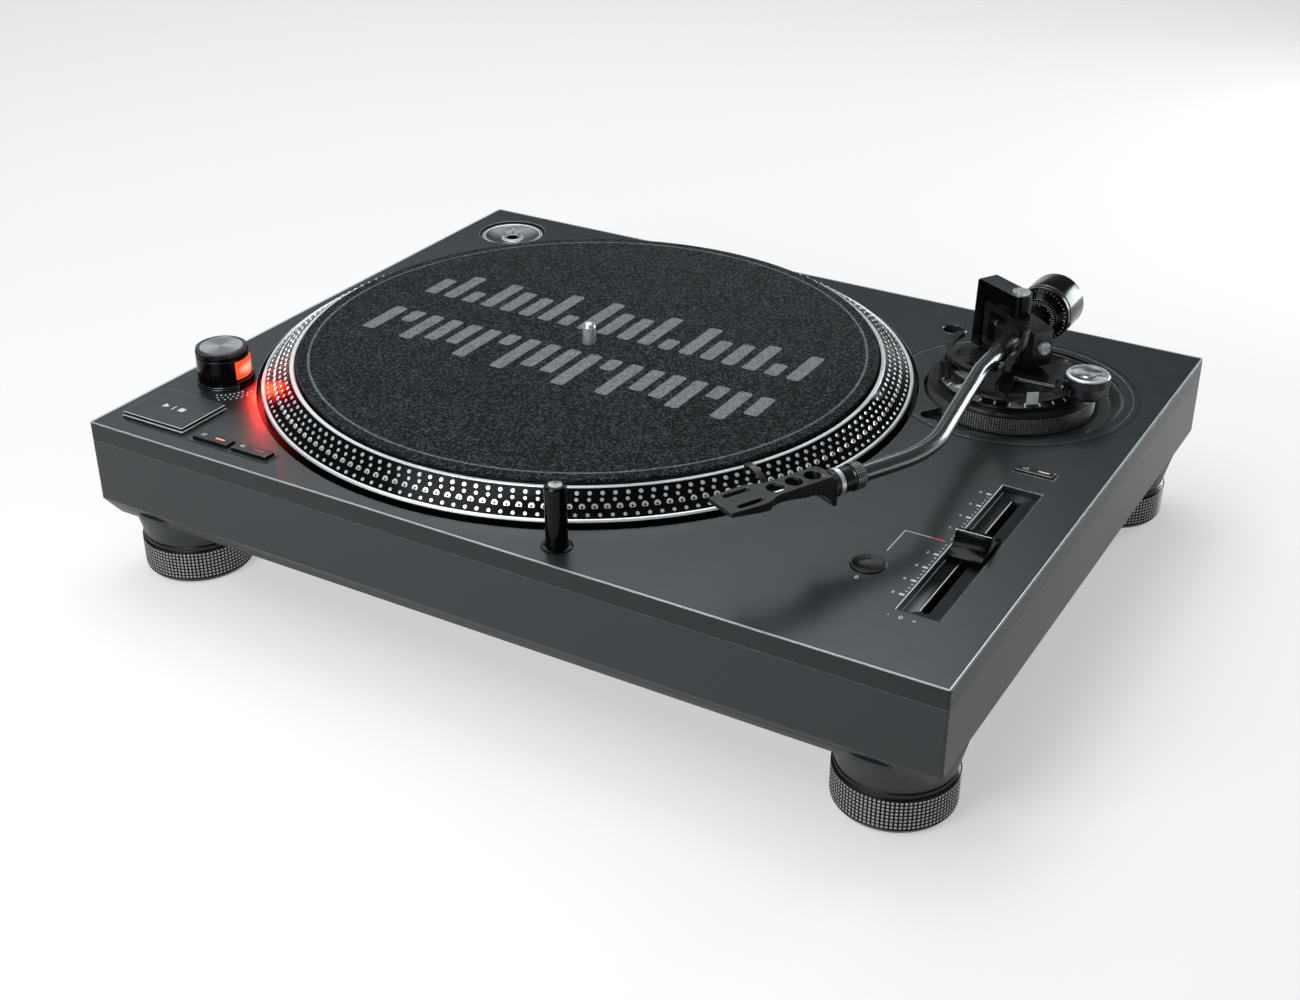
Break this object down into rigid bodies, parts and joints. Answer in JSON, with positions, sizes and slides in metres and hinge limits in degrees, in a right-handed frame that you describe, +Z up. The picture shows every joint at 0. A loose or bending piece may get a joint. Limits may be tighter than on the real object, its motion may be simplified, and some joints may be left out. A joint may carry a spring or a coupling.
{
  "type": "turntable",
  "caption": "Direct-drive record turntable with dotted platter, cloth mat, pitch fader and an S-shaped tonearm on a height-adjustable base, on screw-in feet.",
  "frame": {"origin": "on the floor under the middle of the deck", "axes": "+X to the right seen from the front, +Y to the back, +Z up"},
  "size_m": [0.453, 0.353, 0.1377],
  "materials": {
    "deck_metal": "satin black paint",
    "cabinet": "dark grey satin",
    "black_plastic": "black",
    "gloss_black": "gloss black",
    "platter_metal": "diamond cut rim with a black dotted slope",
    "steel": "bright",
    "felt": "woven cloth with a printed ring",
    "button_metal": "dark satin",
    "window": "lit from inside",
    "knob_metal": "turned",
    "board": "circuit board",
    "copper": "enamelled wire",
    "magnet": "ferrite",
    "arm_metal": "black anodised",
    "brass_gold": "gold plated",
    "foot_metal": "black knurled drum",
    "weight_metal": "black satin weight",
    "bearing": "bearing bronze",
    "gear_plate": "black"
  },
  "bodies": {
    "deck": {"top_plate": "deck_metal", "base_cabinet": "cabinet", "bottom_cover": "black_plastic", "platter_well": "black_plastic", "bearing_housing": "bearing", "motor_coils": "copper", "power_supply_board": "board", "control_board": "board", "switch_board": "board", "button_bezels": "gloss_black", "strobe_housing": "gloss_black", "strobe_window": "window", "light_collar": "gloss_black", "adapter_cup": "black_plastic", "headshell_holder": "gloss_black", "pitch_channel": "gear_plate", "pitch_fader": "steel", "pitch_board": "board", "arm_panel": "deck_metal", "arm_cup": "black_plastic", "phono_jacks": "brass_gold", "ground_terminal": "steel", "mains_inlet": "black_plastic", "hinge_sockets": "black_plastic"},
    "platter": {"platter": "platter_metal", "rotor_magnet": "magnet", "spindle": "steel"},
    "mat": {"slipmat": "felt"},
    "start_stop": {"start_stop_button": "button_metal"},
    "speed_33": {"speed_33_button": "button_metal"},
    "speed_45": {"speed_45_button": "button_metal"},
    "power_switch": {"power_knob": "knob_metal"},
    "target_light": {"light_post": "gloss_black"},
    "adapter": {"adapter_45": "gloss_black"},
    "fader_knob": {"pitch_knob": "gloss_black"},
    "reset": {"reset_button": "button_metal"},
    "range_button": {"double_button": "button_metal"},
    "ring": {"height_ring": "arm_metal"},
    "arm_base": {"arm_base": "arm_metal", "arm_rest": "gloss_black", "arm_bracket": "arm_metal", "pivot_screws": "steel"},
    "anti_skate": {"anti_skate_dial": "knob_metal"},
    "arm_lock": {"arm_lock_knob": "knob_metal"},
    "rest_clip": {"arm_rest_clip": "gloss_black"},
    "arm_lift": {"lift_bar": "gloss_black"},
    "cue": {"cue_lever": "knob_metal"},
    "gimbal": {"gimbal_ring": "arm_metal", "gimbal_pins": "steel"},
    "arm": {"arm_hub": "arm_metal", "tonearm_tube": "arm_metal"},
    "collar": {"locking_collar": "arm_metal"},
    "shell": {"headshell": "arm_metal", "finger_lift": "arm_metal"},
    "force_dial": {"pressure_dial": "gloss_black"},
    "weight": {"counterweight": "weight_metal"},
    "foot_a": {"foot_front_left": "foot_metal"},
    "foot_b": {"foot_front_right": "foot_metal"},
    "foot_c": {"foot_back_left": "foot_metal"},
    "foot_d": {"foot_back_right": "foot_metal"}
  },
  "joints": [
    {"name": "platter_spin", "type": "hinge", "parent": "deck", "child": "platter", "pos_m": [-0.049, 0.003, 0.0835], "axis": [0, 0, -1], "continuous": true},
    {"name": "mat_lift", "type": "slide", "parent": "platter", "child": "mat", "axis": [0, 0, 1], "range_m": [0, 0.02]},
    {"name": "start_stop_press", "type": "slide", "parent": "deck", "child": "start_stop", "axis": [0, 0, -1], "range_m": [0, 0.0013], "stiffness_N_per_m": 400},
    {"name": "speed_33_press", "type": "slide", "parent": "deck", "child": "speed_33", "axis": [0, 0, -1], "range_m": [0, 0.0008], "stiffness_N_per_m": 300},
    {"name": "speed_45_press", "type": "slide", "parent": "deck", "child": "speed_45", "axis": [0, 0, -1], "range_m": [0, 0.0008], "stiffness_N_per_m": 300},
    {"name": "reset_press", "type": "slide", "parent": "deck", "child": "reset", "axis": [0, 0, -1], "range_m": [0, 0.0008], "stiffness_N_per_m": 300},
    {"name": "range_press", "type": "slide", "parent": "deck", "child": "range_button", "axis": [0, 0, -1], "range_m": [0, 0.0008], "stiffness_N_per_m": 300},
    {"name": "power_turn", "type": "hinge", "parent": "deck", "child": "power_switch", "pos_m": [-0.2014, -0.1065, 0.1035], "axis": [0, 0, 1], "range_deg": [-60, 0]},
    {"name": "target_light_drop", "type": "slide", "parent": "deck", "child": "target_light", "axis": [0, 0, -1], "range_m": [0, 0.022]},
    {"name": "adapter_lift", "type": "slide", "parent": "deck", "child": "adapter", "axis": [0, 0, 1], "range_m": [0, 0.02]},
    {"name": "pitch_slide", "type": "slide", "parent": "deck", "child": "fader_knob", "axis": [0, 1, 0], "range_m": [-0.048, 0.048]},
    {"name": "arm_height", "type": "slide", "parent": "deck", "child": "arm_base", "axis": [0, 0, 1], "range_m": [0, 0.006]},
    {"name": "ring_turn", "type": "hinge", "parent": "deck", "child": "ring", "pos_m": [0.15178, 0.08843, 0.0835], "axis": [0, 0, 1], "range_deg": [-1, 301]},
    {"name": "anti_skate_turn", "type": "hinge", "parent": "arm_base", "child": "anti_skate", "pos_m": [0.19258, 0.08063, 0.1005], "axis": [0, 0, -1], "range_deg": [0, 280]},
    {"name": "arm_lock_turn", "type": "hinge", "parent": "arm_base", "child": "arm_lock", "pos_m": [0.13934, 0.05765, 0.0951], "axis": [-0.3746, -0.9272, 0], "range_deg": [0, 90]},
    {"name": "rest_clip_swing", "type": "hinge", "parent": "arm_base", "child": "rest_clip", "pos_m": [0.16118, 0.05243, 0.116], "axis": [0, -1, 0], "range_deg": [0, 95]},
    {"name": "cue_lever_swing", "type": "hinge", "parent": "arm_base", "child": "cue", "pos_m": [0.18378, 0.06633, 0.1021], "axis": [0, 1, 0], "range_deg": [0, 60]},
    {"name": "lift_bar_rise", "type": "slide", "parent": "arm_base", "child": "arm_lift", "axis": [0, 0, 1], "range_m": [0, 0.0042]},
    {"name": "arm_yaw", "type": "hinge", "parent": "arm_base", "child": "gimbal", "pos_m": [0.15178, 0.08843, 0.1145], "axis": [0, 0, -1], "range_deg": [0, 44]},
    {"name": "arm_pitch", "type": "hinge", "parent": "gimbal", "child": "arm", "pos_m": [0.15178, 0.08843, 0.1145], "axis": [-0.866, 0.5, 0], "range_deg": [0, 7]},
    {"name": "collar_turn", "type": "hinge", "parent": "arm", "child": "collar", "pos_m": [0.13848, -0.10277, 0.1145], "axis": [-0.4437, -0.8962, 0], "range_deg": [-90, 0]},
    {"name": "headshell_pull", "type": "slide", "parent": "arm", "child": "shell", "axis": [-0.4437, -0.8962, 0], "range_m": [0, 0.02]},
    {"name": "weight_travel", "type": "slide", "parent": "arm", "child": "force_dial", "axis": [0.0209, 0.9998, 0], "range_m": [-0.003, 0.003]},
    {"name": "weight_turn", "type": "hinge", "parent": "force_dial", "child": "weight", "pos_m": [0.15178, 0.08843, 0.1125], "axis": [0.0209, 0.9998, 0], "range_deg": [-361, 361]},
    {"name": "foot_turn_front_left", "type": "hinge", "parent": "deck", "child": "foot_a", "pos_m": [-0.195, -0.1455, 0.01], "axis": [0, 0, 1], "range_deg": [-90, 90]},
    {"name": "foot_turn_front_right", "type": "hinge", "parent": "deck", "child": "foot_b", "pos_m": [0.195, -0.1455, 0.01], "axis": [0, 0, 1], "range_deg": [-90, 90]},
    {"name": "foot_turn_back_left", "type": "hinge", "parent": "deck", "child": "foot_c", "pos_m": [-0.195, 0.1455, 0.01], "axis": [0, 0, 1], "range_deg": [-90, 90]},
    {"name": "foot_turn_back_right", "type": "hinge", "parent": "deck", "child": "foot_d", "pos_m": [0.195, 0.1455, 0.01], "axis": [0, 0, 1], "range_deg": [-90, 90]}
  ],
  "couplings": [
    {"joint": "ring_turn", "follows": "arm_height", "rad_per_m": 872.66},
    {"joint": "cue_lever_swing", "follows": "lift_bar_rise", "rad_per_m": 249.33},
    {"joint": "weight_turn", "follows": "weight_travel", "rad_per_m": 2094.4}
  ]
}
